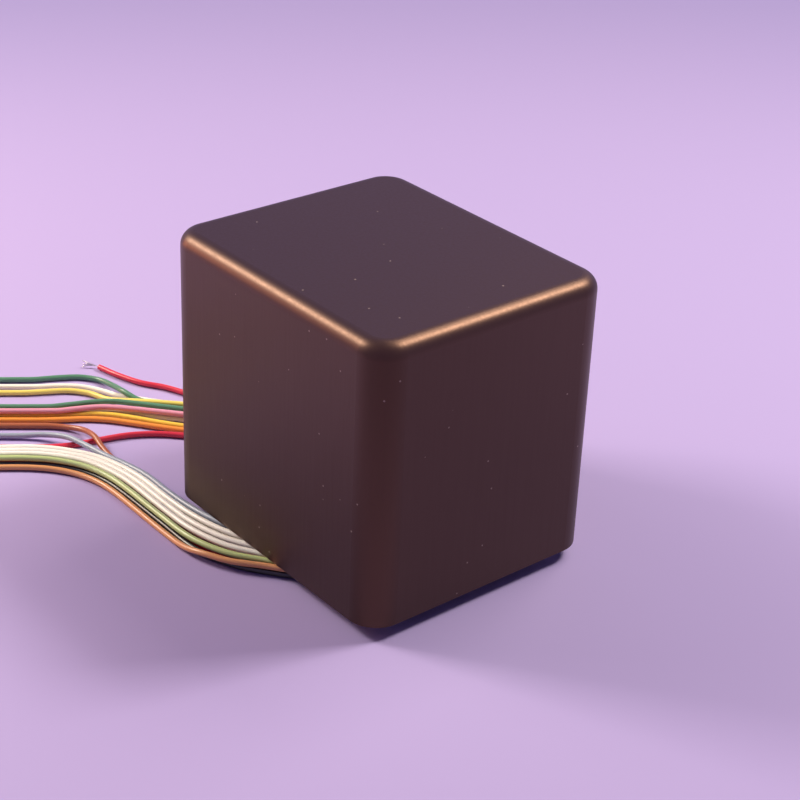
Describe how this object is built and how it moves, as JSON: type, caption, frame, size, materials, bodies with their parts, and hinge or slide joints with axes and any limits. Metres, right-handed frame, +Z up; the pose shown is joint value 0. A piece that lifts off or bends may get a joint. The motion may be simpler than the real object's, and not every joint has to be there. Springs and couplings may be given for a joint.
{
  "type": "potted transformer with flying leads",
  "caption": "Potted transformer in a drawn, satin black steel can with rounded edges, on tapped bushes in its recessed base, with bundles of coloured flying leads from grommets underneath.",
  "frame": {"origin": "on the surface that the mounting bushes stand on, under the middle of the can", "axes": "+Z up out of the can's top, X along the can's longer side with the leads leaving towards -X, Y along its shorter side with the front grommet towards -Y"},
  "size_m": [0.1538, 0.1264, 0.0635],
  "materials": {
    "black_enamel": "satin black stoved enamel on drawn steel",
    "plated_steel": "zinc-plated steel",
    "black_rubber": "moulded black rubber",
    "fibre": "hard-pressed insulating fibre",
    "laminations": "varnished silicon-steel laminations",
    "insulating_paper": "insulating paper",
    "natural_nylon": "moulded natural nylon",
    "enamelled_copper": "enamelled copper wire and copper foil",
    "polyester_tape": "yellow polyester tape",
    "potting_resin": "mineral-filled potting resin",
    "tinned_copper": "twisted, tinned copper strands",
    "grey_pvc": "extruded grey PVC",
    "white_pvc": "extruded white PVC",
    "lime_pvc": "extruded yellow-green PVC",
    "tan_pvc": "extruded tan PVC",
    "copper_pvc": "extruded copper-brown PVC",
    "cream_pvc": "extruded cream PVC",
    "brown_pvc": "extruded brown PVC",
    "red_pvc": "extruded red PVC",
    "black_pvc": "extruded black PVC",
    "yellow_pvc": "extruded yellow PVC",
    "green_pvc": "extruded green PVC",
    "pink_pvc": "extruded pink PVC",
    "gold_pvc": "extruded gold PVC",
    "orange_pvc": "extruded orange PVC"
  },
  "bodies": {
    "root": {"can": "black_enamel", "base_plate": "plated_steel", "mounting_bushes": "plated_steel", "front_grommet": "black_rubber", "rear_grommet": "black_rubber", "core_pad": "fibre", "core_e_stack": "laminations", "core_i_stack": "laminations", "gap_paper": "insulating_paper", "core_bolts": "plated_steel", "bolt_washers": "fibre", "core_nuts": "plated_steel", "bobbin": "natural_nylon", "primary_winding": "enamelled_copper", "inner_insulation": "polyester_tape", "screen_foil": "enamelled_copper", "outer_insulation": "polyester_tape", "secondary_winding": "enamelled_copper", "coil_wrap": "polyester_tape", "lead_tails": "white_pvc", "potting": "potting_resin", "tinned_ends": "tinned_copper", "lead_f_grey": "grey_pvc", "lead_f_white_1": "white_pvc", "lead_f_white_2": "white_pvc", "lead_f_white_3": "white_pvc", "lead_f_lime": "lime_pvc", "lead_f_tan": "tan_pvc", "lead_f_copper": "copper_pvc", "lead_f_white_4": "white_pvc", "lead_f_cream": "cream_pvc", "lead_f_brown": "brown_pvc", "lead_f_red": "red_pvc", "lead_f_black": "black_pvc", "lead_r_red_short": "red_pvc", "lead_r_yellow": "yellow_pvc", "lead_r_green_1": "green_pvc", "lead_r_pink": "pink_pvc", "lead_r_red": "red_pvc", "lead_r_white": "white_pvc", "lead_r_green_2": "green_pvc", "lead_r_cream": "cream_pvc", "lead_r_gold": "gold_pvc", "lead_r_orange": "orange_pvc"}
  },
  "joints": []
}
